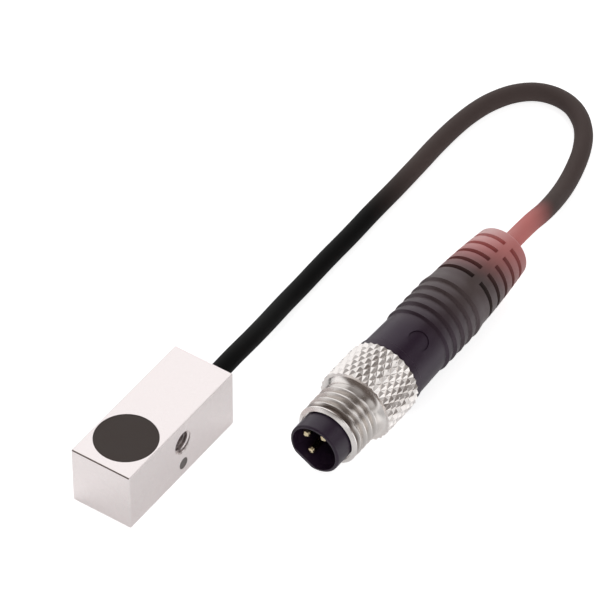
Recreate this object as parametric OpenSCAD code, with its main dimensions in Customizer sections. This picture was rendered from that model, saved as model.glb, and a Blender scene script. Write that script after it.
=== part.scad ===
// Inductive proximity sensor: a small square metal block that senses metal above a round face,
// with a thin cord that ends in a three-pin M8 plug with a knurled screw ring.
// Millimetres. The origin is the centre of the block's base. +X runs from the sensing end to the
// cord end, and +Z points up through the sensing face.

/* [Housing] */
// Length of the metal block
body_l = 20; // [20:0.5:40]
// Width of the metal block
body_w = 8; // [8:0.5:12]
// Height of the metal block
body_h = 8; // [8:0.5:12]
// Bevel on the block's outer edges
body_bevel = 0.12; // [0.05:0.01:0.3]
// Thickness of the side walls round the pockets
side_wall = 1; // [0.8:0.05:1.2]
// Thickness of the floor under the circuit board
floor_wall = 0.85; // [0.6:0.05:1]
// Thickness of the roof over the rear pocket
roof_wall = 0.9; // [0.6:0.05:1.2]
// Corner radius of the rear pocket
pocket_corner = 0.8; // [0.3:0.1:1.5]

/* [Sensing face] */
// Diameter of the dark disc in the top face
face_d = 7.5; // [7:0.1:7.6]
// Thickness of the disc
face_t = 1; // [0.6:0.1:1.2]
// Distance from the block's front end to the disc's centre
face_from_front = 4.95; // [4.6:0.05:5.1]
// Depth of the disc's top below the metal
face_sink = 0.03; // [0:0.01:0.1]

/* [Coil] */
// Outer diameter of the ferrite pot core
core_d = 6; // [5.2:0.1:6.2]
// Height of the pot core
core_h = 2.4; // [2:0.1:3]
// Thickness of the core's wall and base
core_wall = 0.7; // [0.5:0.05:0.8]
// Diameter of the core's centre post
post_d = 2.2; // [1.6:0.1:2.4]
// Thickness of the coil former's sleeve and flanges
former_t = 0.2; // [0.15:0.05:0.3]
// Diameter of the winding's two lead wires
lead_d = 0.2; // [0.1:0.05:0.3]

/* [Mounting hole] */
// Tapping diameter of the cross hole's thread
hole_d = 2.5; // [2:0.05:2.6]
// Outer diameter of the cross hole's thread
hole_thread_d = 3; // [2.8:0.1:3.2]
// Diameter of the bevel at the hole's mouths
hole_mouth_d = 3.05; // [3:0.05:3.6]
// Distance from the block's front end to the hole
hole_from_front = 10.2; // [10:0.1:11]
// Depth of the hole's axis below the top face
hole_down = 2.9; // [2.6:0.1:3.2]

/* [Circuit board and light] */
// Thickness of the circuit board
board_t = 0.4; // [0.3:0.05:0.6]
// Resin gap under the circuit board
board_gap = 0.15; // [0.1:0.05:0.3]
// Gap between the board's edges and the pocket's side walls
board_side_gap = 0.5; // [0.3:0.05:0.7]
// Diameter of the light window in the side wall
window_d = 1.5; // [1:0.1:1.6]
// Distance from the block's front end to the window
window_from_front = 10.2; // [9.6:0.1:11]

/* [Cord] */
// Outer diameter of the cord
cord_d = 2.3; // [1.8:0.05:2.4]
// Height of the cord's exit above the block's base
exit_up = 3.7; // [3.4:0.1:4.6]
// Length of the moulded bush that holds the cord in the block
bush_l = 1.6; // [1:0.1:2]
// Outer diameter of each insulated core wire
wire_d = 0.6; // [0.4:0.05:0.65]

/* [Plug nose] */
// Outer diameter of the nose
nose_d = 6.5; // [6.2:0.05:6.6]
// Diameter of the hollow behind its mouth
cavity_d = 5.1; // [4.8:0.05:5.3]
// Diameter of the hollow's mouth
mouth_d = 5.8; // [5.6:0.05:5.9]
// Depth of the socket hollow
cavity_depth = 4.6; // [4:0.1:6]
// Radius of the nose's rounded rim
nose_round = 0.25; // [0.1:0.05:0.3]
// Distance from the axis to the nose's keying flat
key_flat = 2.8; // [2.7:0.05:3]
// Wall between the keying flat and the hollow
key_wall = 0.4; // [0.3:0.05:0.6]
// Diameter of the neck that carries the ring
neck_d = 5.8; // [5.7:0.05:5.9]
// Diameter of each contact pin
pin_d = 1; // [0.8:0.05:1.2]
// Radius of the circle that the pins stand on
pin_circle_r = 1.72; // [1.6:0.02:1.8]
// Depth of the pins' tips behind the nose's front
pin_sink = 0.6; // [0.3:0.1:1.5]

/* [Coupling ring] */
// Diameter over the knurl
ring_d = 9.6; // [9.4:0.1:11]
// Diameter over the thread
thread_d = 7.9; // [7.8:0.05:8]
// Length of the threaded stretch
thread_l = 3.45; // [3:0.05:5]
// Length of the knurled stretch
knurl_l = 6; // [4:0.1:8]
// Depth of the knurl
knurl_depth = 0.3; // [0.15:0.05:0.35]
// Number of knurl points round the ring
knurl_count = 32; // [24:1:40]

/* [Grip] */
// Diameter of the grip behind its collar
grip_d = 8.64; // [8.4:0.02:9]
// Diameter of the collar behind the ring
collar_d = 8.9; // [8.7:0.05:9.2]
// Length of the plain stretch in front of the ribs
plain_l = 5.4; // [4:0.1:7]
// Number of grip ribs
rib_count = 5; // [3:1:6]
// Distance from rib to rib
rib_pitch = 1.6; // [1.4:0.05:2]
// Height of each rib
rib_h = 0.19; // [0.1:0.01:0.3]
// Diameter of the recess on the grip
badge_d = 2.6; // [2:0.1:3]
// Depth of the recess
badge_depth = 0.14; // [0.1:0.01:0.4]
// Length of the strain relief behind the ribs
tail_l = 10.25; // [9.5:0.05:13]
// Diameter of the strain relief's rear end
tail_end_d = 6.9; // [6:0.1:7.4]
// Number of slots along the strain relief
slot_count = 5; // [3:1:5]
// Distance from slot to slot
slot_pitch = 1.75; // [1.5:0.05:1.9]
// Width of each slot
slot_w = 0.6; // [0.3:0.05:0.8]
// Depth of each slot
slot_depth = 0.9; // [0.4:0.1:1.2]
// Width of the spines between the slots
spine_w = 1.1; // [0.6:0.1:1.6]

/* [Hidden] */

$fn = 96;

// Radial and end gap between pieces that are fixed in one another
fit_gap = 0.03;
// Overlap of a cutting tool past the face that it opens
over = 1;

// Sensor block, worked out from the sizes above
front_x = -body_l / 2;
rear_x = body_l / 2;
face_x = front_x + face_from_front;
face_under_z = body_h - face_t;
chamber_r = core_d / 2 + 0.2;
pocket_w = body_w - 2 * side_wall;
pocket_roof_z = body_h - roof_wall;
pocket_middle_z = (floor_wall + pocket_roof_z) / 2;
hole_x = front_x + hole_from_front;
hole_z = body_h - hole_down;
// Metal left under the cross hole's thread, and behind it
hole_floor = 0.3;
hole_back_wall = 0.9;
tunnel_roof_z = hole_z - hole_thread_d / 2 - hole_floor;
rear_wall_x = hole_x + hole_thread_d / 2 + hole_back_wall;
bush_x = rear_x - bush_l;
// Stretch of jacket inside the resin
jacket_inside = 0.8;
jacket_end_x = bush_x - jacket_inside;

// Coil; the former sits in the core with a small gap all round
core_z = face_under_z - core_h;
former_gap = 0.05;
window_in_r = post_d / 2 + former_gap;
window_out_r = core_d / 2 - core_wall;
former_z = core_z + core_wall + former_gap;
former_top_z = face_under_z - former_gap;
former_r = window_out_r - former_gap;
winding_z = former_z + former_t + fit_gap;
winding_top_z = former_top_z - former_t - fit_gap;
winding_r = former_r - fit_gap;
lead_radius = (window_out_r + core_d / 2) / 2;
lead_spread = 0.25;
lead_slot_w = 2 * (lead_spread + lead_d);
lead_z = winding_z + lead_d;

// Circuit board and what it carries; a part's size is length, width and height
board_z = floor_wall + board_gap;
board_top_z = board_z + board_t;
board_w = pocket_w - 2 * board_side_gap;
board_corner_gap = 0.1;
board_front_x = face_x - sqrt(pow(chamber_r - board_corner_gap, 2) - pow(board_w / 2, 2));
board_rear_x = jacket_end_x - 0.4;
chip_size = [3, 3, 0.8];
transistor_size = [2, 1.25, 0.95];
diode_size = [1.7, 1.25, 0.9];
capacitor_size = [1.6, 0.8, 0.8];
resistor_size = [1.6, 0.8, 0.45];
led_size = [1.6, 0.8, 0.8];
// Gaps from part to part and from a part to the board's edge
part_gap = 0.4;
small_edge_gap = 0.5;
large_edge_gap = 0.25;
window_x = front_x + window_from_front;
window_z = board_top_z + led_size[2] / 2;
window_inner_y = -(pocket_w / 2 - 0.15);
window_sink = 0.02;
led_front_y = window_inner_y + 0.2;

// Core wires inside the cord: circle that they lie on, and their angles in the block and in the plug
wire_circle_r = wire_d * 0.7;
sensor_wire_angles = [90, 210, 330];
plug_wire_angles = [105, 255, 0];
// Solder pads on the board: distance in front of the jacket's end, and out to the side
pad_back = [2.1, 1.3, 1.3];
pad_out = [0, -0.5, 0.5];
// Front side of the outer two wires where they meet the board
outer_wires_x = jacket_end_x - pad_back[1] - wire_d / 2;
wire_straight = 0.4;
wire_bend = 0.3;

// Cord route, centreline points by hand: out of the bush, down to the floor, round the loop and
// up to the plug's rear
route = [
  [10, 0, 3.7], [13, 0, 3.7], [16, 0.1, 3.6], [20, 0.4, 3], [24, 0.9, 2.2], [28, 1.4, 1.5],
  [32, 1.6, 1.2], [37, 1.7, 1.2], [42, 1.7, 1.2], [47, 1.8, 1.2], [52, 1.8, 1.2], [57, 1.9, 1.2],
  [61, 2, 1.2], [65, 1.9, 1.2], [68.4, 1.5, 1.2], [71.3, 0.7, 1.2], [73.9, -0.7, 1.2],
  [75.7, -2.7, 1.2], [76.4, -5.1, 1.2], [76, -7.6, 1.2], [74.6, -9.8, 1.2], [72.5, -11.6, 1.2],
  [69.7, -13, 1.2], [66.5, -14, 1.2], [63.2, -14.8, 1.5], [59.8, -15.5, 2.3], [56.4, -16.1, 3.4],
  [53.2, -16.4, 4.4], [50, -16.5, 4.8], [47, -16.5, 4.8]
];
cord_sides = 8;
rings_per_span = 2;

// Plug as it lies: place of its nose, and how far it is turned about its own axis
plug_x = 7.9;
plug_y = -16.5;
plug_turn = 30;

// Clearances of the turning ring: at faces and wide gaps, and round the neck that it turns on
ring_gap = 0.1;
shaft_gap = 0.06;

// Lengths along the plug that the photo's proportions give
nose_l = 2.5;
nose_flange_l = 0.15;
mouth_l = 1;
mouth_cone_l = 1.3;
rim_l = 0.45;
groove_l = 0.6;
shoulder_l = 1.1;
ring_face_wall = 0.5;
collar_l = 1.1;
first_slot_l = 1.45;

// Lengths inside the grip
lock_back = 0.6;
lock_l = 1.4;
shell_tail_l = 1.5;
cup_l = 2.5;
cup_depth = 1.5;
wires_l = 7.4;
jacket_hold_l = 2;

// Stations along the plug, from the nose's front
ring_front = nose_l;
flange_end = ring_front + nose_flange_l;
thread_start = ring_front + rim_l + groove_l;
thread_end = thread_start + thread_l;
knurl_start = thread_end + shoulder_l;
ring_end = knurl_start + knurl_l;
sleeve_start = knurl_start + ring_face_wall;
collar_start = ring_end + ring_gap;
grip_start = collar_start + collar_l;
badge_at = grip_start + plain_l / 2;
ribs_start = grip_start + plain_l;
tail_start = ribs_start + rib_count * rib_pitch;
slots_start = tail_start + first_slot_l;
plug_end = tail_start + tail_l;
lock_start = sleeve_start + lock_back;
lock_end = lock_start + lock_l;
carrier_end = lock_end + shell_tail_l;
cup_end = carrier_end + cup_l;
plug_jacket_end = cup_end + wires_l;
premould_end = plug_jacket_end + jacket_hold_l;

// Radii of the plug's pieces
nose_r = nose_d / 2;
neck_r = neck_d / 2;
thread_r = thread_d / 2;
groove_r = thread_r - 0.5;
shoulder_r = thread_r - 0.2;
knurl_r = ring_d / 2;
knurl_root_r = knurl_r - knurl_depth;
ring_core_r = knurl_root_r - 0.1;
ring_bevel = 0.08;
// Hollow curve that rises from the thread's end to the knurl
shoulder_rise = ring_core_r - ring_bevel - shoulder_r;
shoulder_sweep = 2 * atan(shoulder_rise / shoulder_l);
shoulder_curve_r = shoulder_l / sin(shoulder_sweep);
shoulder_steps = 4;
sleeve_r = knurl_root_r - 0.65;
lock_r = sleeve_r - 0.55;
shell_tail_r = neck_r - 0.1;
cup_r = pin_d / 2 + 0.15;
premould_r = sleeve_r - 0.75;
grip_r = grip_d / 2;
grip_rear_r = grip_r - 0.15;
tail_r = grip_rear_r - 0.03;
tail_end_r = tail_end_d / 2;
tail_round = 0.4;
tail_curve = 1.6;
// The three pins stand a little to the side of the axis that the fourth would be on
pins_aside = 0.12;
pin_places = [[pins_aside, pin_circle_r], [pins_aside, -pin_circle_r], [pins_aside + pin_circle_r, 0]];

// Bar of a given length, width and height, centred on x and y, standing on z, grown on all sides
module bar(size, place, grow = 0) {
  translate([place[0] - size[0] / 2 - grow, place[1] - size[1] / 2 - grow, place[2] - grow])
    cube([size[0] + 2 * grow, size[1] + 2 * grow, size[2] + 2 * grow]);
}

// Solid turned about the X axis from points of station and radius
module turned(points) {
  rotate([0, 90, 0])
    rotate_extrude()
      polygon([for (p = points) [p[1], p[0]]]);
}

// Rod along the X axis
module rod(from, to, r) {
  translate([from, 0, 0])
    rotate([0, 90, 0])
      cylinder(r = r, h = to - from);
}

// Outline of a rectangle with round corners
module round_rectangle(w, h, r) {
  square([w - 2 * r, h], center = true);
  square([w, h - 2 * r], center = true);
  for (x = [r - w / 2, w / 2 - r], y = [r - h / 2, h / 2 - r])
    translate([x, y])
      circle(r = r);
}

// Rectangle with all four corners cut off by the bevel
function bevelled(w, h, b) = [
  [-w / 2 + b, -h / 2], [w / 2 - b, -h / 2], [w / 2, -h / 2 + b], [w / 2, h / 2 - b],
  [w / 2 - b, h / 2], [-w / 2 + b, h / 2], [-w / 2, h / 2 - b], [-w / 2, -h / 2 + b]
];

function unit(v) = v / norm(v);

// Point at share t between p1 and p2 on the smooth curve through p0, p1, p2 and p3
function curve_point(p0, p1, p2, p3, t) =
  (2 * p1 + (p2 - p0) * t + (2 * p0 - 5 * p1 + 4 * p2 - p3) * t * t
  + (3 * p1 - p0 - 3 * p2 + p3) * t * t * t) / 2;

// Smooth curve through points, with a number of steps in each span
function smooth(points, steps) = let (last = len(points) - 1) [
  for (i = [0 : last - 1], k = [0 : steps - 1])
    curve_point(points[max(i - 1, 0)], points[i], points[i + 1], points[min(i + 2, last)], k / steps),
  points[last]
];

// Direction of a path at point i
function heading(path, i) = unit(path[min(i + 1, len(path) - 1)] - path[max(i - 1, 0)]);

// Ring of points round a path at point i; the hint sets how the ring is turned
function ring_points(path, i, r, sides, hint) =
  let (along = heading(path, i), side = unit(cross(hint, along)), up = cross(along, side))
    [for (k = [0 : sides - 1]) path[i] + r * (cos(360 * k / sides) * side + sin(360 * k / sides) * up)];

// Round tube swept along a path as one closed solid
module swept(path, d, sides, hint = [0, 0, 1]) {
  rings = len(path);
  points = [for (i = [0 : rings - 1]) each ring_points(path, i, d / 2, sides, hint)];
  walls = [
    for (i = [0 : rings - 2], k = [0 : sides - 1])
      let (n = (k + 1) % sides)
        [i * sides + k, (i + 1) * sides + k, (i + 1) * sides + n, i * sides + n]
  ];
  start_cap = [for (k = [0 : sides - 1]) k];
  end_cap = [for (k = [sides - 1 : -1 : 0]) (rings - 1) * sides + k];
  polyhedron(points = points, faces = concat([start_cap], walls, [end_cap]));
}

// Pockets of the block, drawn in by a gap on all sides
module pockets(gap = 0) {
  translate([face_x, 0, floor_wall + gap])
    cylinder(r = chamber_r - gap, h = face_under_z - floor_wall - 2 * gap);
  translate([face_x, -pocket_w / 2 + gap, floor_wall + gap])
    cube([rear_wall_x - face_x + over, pocket_w - 2 * gap, tunnel_roof_z - floor_wall - 2 * gap]);
  translate([rear_wall_x + gap, 0, pocket_middle_z])
    rotate([90, 0, 90])
      linear_extrude(bush_x - rear_wall_x - 2 * gap)
        round_rectangle(pocket_w - 2 * gap, pocket_roof_z - floor_wall - 2 * gap, pocket_corner);
}

module housing() {
  color("silver")
    difference() {
      intersection() {
        translate([front_x, 0, body_h / 2])
          rotate([90, 0, 90])
            linear_extrude(body_l)
              polygon(bevelled(body_w, body_h, body_bevel));
        translate([0, body_w / 2, body_h / 2])
          rotate([90, 0, 0])
            linear_extrude(body_w)
              polygon(bevelled(body_l, body_h, body_bevel));
        linear_extrude(body_h)
          polygon(bevelled(body_l, body_w, body_bevel));
      }
      pockets();
      translate([face_x, 0, face_under_z])
        cylinder(d = face_d, h = face_t + over);
      translate([bush_x - over, 0, pocket_middle_z])
        rotate([90, 0, 90])
          linear_extrude(bush_l + 2 * over)
            round_rectangle(pocket_w, pocket_roof_z - floor_wall, pocket_corner);
      cross_hole();
      translate([window_x, -body_w / 2 - over, window_z])
        rotate([-90, 0, 0])
          cylinder(d = window_d, h = side_wall + 1.5 * over);
    }
}

// Tapped hole across the block, with a bevel at both mouths
module cross_hole() {
  bevel = (hole_mouth_d - hole_d) / 2;
  translate([hole_x, 0, hole_z])
    rotate([-90, 0, 0]) {
      cylinder(d = hole_d, h = body_w + 2 * over, center = true);
      for (side = [0, 180])
        rotate([side, 0, 0])
          translate([0, 0, body_w / 2 - bevel])
            cylinder(d1 = hole_d, d2 = hole_d + 4 * bevel, h = 2 * bevel);
    }
}

module sensing_cap() {
  color([0.29, 0.26, 0.25])
    translate([face_x, 0, face_under_z])
      cylinder(r = face_d / 2 - fit_gap, h = face_t - face_sink);
}

// Pot core, open towards the sensing face, with a slot for the winding's ends
module ferrite_core() {
  color([0.2, 0.2, 0.21])
    difference() {
      translate([face_x, 0, core_z])
        cylinder(d = core_d, h = core_h);
      translate([face_x, 0, core_z + core_wall])
        difference() {
          cylinder(r = window_out_r, h = core_h);
          cylinder(d = post_d, h = core_h);
        }
      translate([face_x + window_out_r - former_gap, -lead_slot_w / 2, core_z - over])
        cube([core_wall + over, lead_slot_w, core_h + 2 * over]);
    }
}

module coil_bobbin() {
  color([0.9, 0.88, 0.8])
    translate([face_x, 0, 0])
      rotate_extrude()
        polygon([
          [window_in_r, former_z], [former_r, former_z], [former_r, former_z + former_t],
          [window_in_r + former_t, former_z + former_t], [window_in_r + former_t, former_top_z - former_t],
          [former_r, former_top_z - former_t], [former_r, former_top_z], [window_in_r, former_top_z]
        ]);
}

module coil_winding() {
  inner_r = window_in_r + former_t + fit_gap;
  color([0.72, 0.4, 0.2])
    translate([face_x, 0, winding_z])
      difference() {
        cylinder(r = winding_r, h = winding_top_z - winding_z);
        translate([0, 0, -over])
          cylinder(r = inner_r, h = winding_top_z - winding_z + 2 * over);
      }
}

// End of the winding: out through the core's slot and down to the board
module coil_lead(y, grow = 0) {
  r = lead_d / 2 + grow;
  start = sqrt(pow(winding_r + fit_gap, 2) - y * y);
  translate([face_x + lead_radius, y, board_top_z + fit_gap - grow])
    cylinder(r = r, h = lead_z - board_top_z - fit_gap + grow, $fn = 24);
  translate([face_x + start, y, lead_z])
    rotate([0, 90, 0])
      cylinder(r = r, h = lead_radius - start, $fn = 24);
}

module coil_lead_in() {
  color([0.72, 0.4, 0.2])
    coil_lead(lead_spread);
}

module coil_lead_out() {
  color([0.72, 0.4, 0.2])
    coil_lead(-lead_spread);
}

module circuit_board(grow = 0) {
  length = board_rear_x - board_front_x;
  color([0.1, 0.35, 0.2])
    bar([length, board_w, board_t], [(board_front_x + board_rear_x) / 2, 0, board_z], grow);
}

// A part soldered on the board, with its underside on the board's top
module board_part(size, x, y, grow) {
  bar(size, [x, y, board_top_z], grow);
}

module oscillator_chip(grow = 0) {
  color([0.15, 0.15, 0.16])
    board_part(chip_size, face_x, 0, grow);
}

module output_transistor(grow = 0) {
  x = outer_wires_x - part_gap - transistor_size[0] / 2;
  color([0.15, 0.15, 0.16])
    board_part(transistor_size, x, -board_w / 2 + large_edge_gap + transistor_size[1] / 2, grow);
}

module protection_diode(grow = 0) {
  x = outer_wires_x - part_gap - diode_size[0] / 2;
  color([0.2, 0.2, 0.2])
    board_part(diode_size, x, board_w / 2 - large_edge_gap - diode_size[1] / 2, grow);
}

module filter_capacitor(grow = 0) {
  color([0.65, 0.5, 0.35])
    board_part(capacitor_size, hole_x, board_w / 2 - small_edge_gap - capacitor_size[1] / 2, grow);
}

module supply_capacitor(grow = 0) {
  color([0.65, 0.5, 0.35])
    board_part(capacitor_size, window_x, 0, grow);
}

module gain_resistor(grow = 0) {
  x = face_x + chip_size[0] / 2 + part_gap + resistor_size[0] / 2;
  color([0.12, 0.12, 0.14])
    board_part(resistor_size, x, board_w / 2 - small_edge_gap - resistor_size[1] / 2, grow);
}

module status_led(grow = 0) {
  color([0.95, 0.9, 0.7])
    board_part(led_size, window_x, led_front_y + led_size[1] / 2, grow);
}

// Clear plug that carries the light through the side wall
module light_window(grow = 0) {
  outer_y = -body_w / 2 + window_sink;
  color([0.75, 0.72, 0.74])
    translate([window_x, outer_y, window_z])
      rotate([-90, 0, 0])
        cylinder(r = window_d / 2 - fit_gap + grow, h = window_inner_y - outer_y + grow);
}

// Resin that fills the pockets round everything inside
module potting_compound() {
  color([0.25, 0.24, 0.26])
    difference() {
      pockets(fit_gap);
      translate([face_x, 0, core_z - fit_gap])
        cylinder(r = core_d / 2 + fit_gap, h = core_h + over);
      circuit_board(fit_gap);
      oscillator_chip(fit_gap);
      output_transistor(fit_gap);
      protection_diode(fit_gap);
      filter_capacitor(fit_gap);
      supply_capacitor(fit_gap);
      gain_resistor(fit_gap);
      status_led(fit_gap);
      light_window(2 * fit_gap);
      for (y = [-lead_spread, lead_spread])
        coil_lead(y, fit_gap);
      for (i = [0 : 2])
        swept(sensor_wire_path(i), wire_d + 2 * fit_gap, cord_sides, [0, 1, 0]);
      translate([0, 0, exit_up])
        rod(jacket_end_x - 2 * fit_gap, rear_x, cord_d / 2 + fit_gap);
    }
}

// Moulded plug that closes the rear pocket and holds the cord
module cord_bush() {
  color([0.13, 0.13, 0.14])
    difference() {
      translate([bush_x, 0, pocket_middle_z])
        rotate([90, 0, 90])
          linear_extrude(bush_l)
            round_rectangle(
              pocket_w - 2 * fit_gap, pocket_roof_z - floor_wall - 2 * fit_gap, pocket_corner - fit_gap
            );
      translate([0, 0, exit_up])
        rod(bush_x - over, rear_x + over, cord_d / 2 + fit_gap);
    }
}

// Way of one core wire from the cord's end down to its pad on the board
function sensor_wire_path(i) =
  let (
    a = sensor_wire_angles[i],
    y = wire_circle_r * cos(a),
    z = exit_up + wire_circle_r * sin(a),
    pad_x = jacket_end_x - pad_back[i],
    pad_y = y + pad_out[i]
  )
    concat(
      [[jacket_end_x - fit_gap, y, z]],
      smooth([
        [jacket_end_x - wire_straight, y, z],
        [pad_x + wire_bend, (y + pad_y) / 2, z - wire_bend],
        [pad_x, pad_y, (z + board_top_z) / 2]
      ], rings_per_span),
      [[pad_x, pad_y, board_top_z + fit_gap]]
    );

module sensor_wire(i) {
  swept(sensor_wire_path(i), wire_d, cord_sides, [0, 1, 0]);
}

module sensor_wire_brown() {
  color([0.4, 0.22, 0.12])
    sensor_wire(0);
}

module sensor_wire_blue() {
  color([0.1, 0.25, 0.6])
    sensor_wire(1);
}

module sensor_wire_black() {
  color([0.1, 0.1, 0.1])
    sensor_wire(2);
}

// Whole run of the cord's jacket: from inside the block, along the route, to inside the plug
function cord_path() = concat(
  [[jacket_end_x, 0, exit_up]],
  smooth(route, rings_per_span),
  [[plug_x + plug_jacket_end, plug_y, knurl_r]]
);

module cord() {
  color([0.1, 0.1, 0.1])
    swept(cord_path(), cord_d, cord_sides);
}

// Moves what is drawn along +X, with its top towards +Z, to the plug's place
module in_plug_place() {
  translate([plug_x, plug_y, knurl_r])
    rotate([plug_turn, 0, 0])
      children();
}

// Radius of the strain relief at a share t of its length
function tail_radius(t) = tail_r - (tail_r - tail_end_r) * pow(t, tail_curve);

// Outline points of one rib: a short step up and a barrel that falls to the next step
function rib_outline(start) = let (root = grip_rear_r) [
  [start, root], [start + 0.12, root + 0.7 * rib_h], [start + 0.3, root + rib_h],
  [start + 0.5 * rib_pitch, root + 0.92 * rib_h], [start + 0.8 * rib_pitch, root + 0.5 * rib_h]
];

// Outer form of the grip, from the sleeve under the ring to the cord's exit
module grip_form() {
  steps = 12;
  straight = tail_l - tail_round;
  turned(concat(
    [
      [sleeve_start, 0], [sleeve_start, sleeve_r], [collar_start, sleeve_r],
      [collar_start, collar_d / 2 - 0.1], [collar_start + 0.1, collar_d / 2],
      [grip_start - 0.15, collar_d / 2], [grip_start, grip_r]
    ],
    [for (i = [0 : rib_count - 1]) each rib_outline(ribs_start + i * rib_pitch)],
    [for (k = [0 : steps]) [tail_start + straight * k / steps, tail_radius(k / steps)]],
    [for (a = [15 : 15 : 90]) [
      plug_end - tail_round + tail_round * sin(a),
      tail_end_r - tail_round + tail_round * cos(a)
    ]],
    [[plug_end, 0]]
  ));
}

// Pair of arc slots that leaves a spine at the top and at the bottom
module slot_pair(station) {
  outer_r = grip_r + over;
  floor_r = tail_radius((station - tail_start) / tail_l) - slot_depth;
  spine_angle = asin(spine_w / 2 / tail_r);
  for (side = [0, 180])
    translate([station - slot_w / 2, 0, 0])
      rotate([0, 90, 0])
        rotate([0, 0, side + spine_angle])
          rotate_extrude(angle = 180 - 2 * spine_angle)
            translate([floor_r, 0])
              square([outer_r - floor_r, slot_w]);
}

module grip_overmould() {
  color([0.2, 0.15, 0.2])
    in_plug_place()
      difference() {
        grip_form();
        turned([
          [sleeve_start - over, 0], [sleeve_start - over, neck_r + fit_gap],
          [lock_start - fit_gap, neck_r + fit_gap], [lock_start - fit_gap, lock_r + fit_gap],
          [lock_end + fit_gap, lock_r + fit_gap], [lock_end + fit_gap, shell_tail_r + fit_gap],
          [carrier_end, shell_tail_r + fit_gap], [carrier_end, premould_r + fit_gap],
          [premould_end + fit_gap, premould_r + fit_gap], [premould_end + fit_gap, cord_d / 2 + fit_gap],
          [plug_end + over, cord_d / 2 + fit_gap], [plug_end + over, 0]
        ]);
        for (i = [0 : slot_count - 1])
          slot_pair(slots_start + i * slot_pitch);
        difference() {
          translate([badge_at, 0, 0])
            cylinder(d = badge_d, h = grip_r + over);
          rod(badge_at - badge_d, badge_at + badge_d, (grip_r + grip_rear_r) / 2 - badge_depth);
        }
      }
}

// Hard moulding round the soldered joints and the cord's end
module inner_premould() {
  color([0.85, 0.83, 0.75])
    in_plug_place()
      difference() {
        rod(carrier_end + fit_gap, premould_end, premould_r);
        for (p = pin_places)
          translate([0, p[0], p[1]])
            rod(carrier_end - over, cup_end + fit_gap, cup_r + fit_gap);
        for (i = [0 : 2])
          swept(plug_wire_path(i), wire_d + 2 * fit_gap, cord_sides);
        rod(plug_jacket_end - 2 * fit_gap, plug_end, cord_d / 2 + fit_gap);
      }
}

// Round form with a flat on its underside, for the keyed hollow and the insert that sits in it
module keyed_rod(from, to, gap = 0) {
  flat = key_flat - key_wall - gap;
  difference() {
    rod(from, to, cavity_d / 2 - gap);
    translate([from - over, -nose_d, -flat - nose_d])
      cube([to - from + 2 * over, 2 * nose_d, nose_d]);
  }
}

// Shell of the plug: nose with its keying flat, neck that carries the ring, and locking flange
module plug_shell() {
  color([0.16, 0.12, 0.17])
    in_plug_place()
      difference() {
        turned(concat(
          [[0, 0]],
          [for (a = [0 : 15 : 90]) [
            nose_round - nose_round * cos(a),
            nose_r - nose_round + nose_round * sin(a)
          ]],
          [
            [flange_end, nose_r], [flange_end, neck_r], [lock_start, neck_r], [lock_start, lock_r],
            [lock_end, lock_r], [lock_end, shell_tail_r], [carrier_end, shell_tail_r], [carrier_end, 0]
          ]
        ));
        translate([-over, -nose_d, -key_flat - nose_d])
          cube([flange_end + over, 2 * nose_d, nose_d]);
        keyed_rod(-over, carrier_end + over);
        nose_mouth();
      }
}

// Wide mouth of the nose's hollow, drawn in by a cone to the hollow behind it
module nose_mouth() {
  mouth_flat = key_flat - key_wall;
  difference() {
    turned([
      [-over, 0], [-over, mouth_d / 2], [mouth_l, mouth_d / 2], [mouth_l + mouth_cone_l, cavity_d / 2],
      [mouth_l + mouth_cone_l, 0]
    ]);
    translate([-2 * over, -nose_d, -mouth_flat - nose_d])
      cube([nose_l + 2 * over, 2 * nose_d, nose_d]);
  }
}

// Insert that closes the shell's hollow and holds the pins
module contact_carrier() {
  color([0.08, 0.06, 0.08])
    in_plug_place()
      difference() {
        keyed_rod(cavity_depth, carrier_end, fit_gap);
        for (p = pin_places)
          translate([0, p[0], p[1]])
            rod(0, carrier_end + over, pin_d / 2 + fit_gap);
      }
}

// Contact pin with a bevelled tip in front and a solder cup behind
module contact_pin(place) {
  r = pin_d / 2;
  cup_start = carrier_end + fit_gap;
  color([0.85, 0.68, 0.3])
    in_plug_place()
      translate([0, place[0], place[1]])
        turned([
          [pin_sink, 0], [pin_sink, 0.4 * r], [pin_sink + 0.2 * r, 0.75 * r], [pin_sink + 0.7 * r, r],
          [cup_start, r], [cup_start, cup_r], [cup_end, cup_r], [cup_end, wire_d / 2 + fit_gap],
          [cup_end - cup_depth, wire_d / 2 + fit_gap], [cup_end - cup_depth, 0]
        ]);
}

module contact_pin_1() {
  contact_pin(pin_places[0]);
}

module contact_pin_3() {
  contact_pin(pin_places[1]);
}

module contact_pin_4() {
  contact_pin(pin_places[2]);
}

// Way of one core wire from its solder cup to the cord's end
function plug_wire_path(i) =
  let (
    y = pin_places[i][0],
    z = pin_places[i][1],
    a = plug_wire_angles[i],
    end_y = wire_circle_r * cos(a),
    end_z = wire_circle_r * sin(a),
    middle = (cup_end + plug_jacket_end) / 2
  )
    concat(
      [[cup_end - cup_depth + fit_gap, y, z]],
      smooth([
        [cup_end + wire_straight, y, z],
        [middle, (y + end_y) / 2, (z + end_z) / 2],
        [plug_jacket_end - wire_straight, end_y, end_z]
      ], 2 * rings_per_span),
      [[plug_jacket_end - fit_gap, end_y, end_z]]
    );

module plug_wire(i) {
  in_plug_place()
    swept(plug_wire_path(i), wire_d, cord_sides);
}

module plug_wire_brown() {
  color([0.4, 0.22, 0.12])
    plug_wire(0);
}

module plug_wire_blue() {
  color([0.1, 0.25, 0.6])
    plug_wire(1);
}

module plug_wire_black() {
  color([0.1, 0.1, 0.1])
    plug_wire(2);
}

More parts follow.
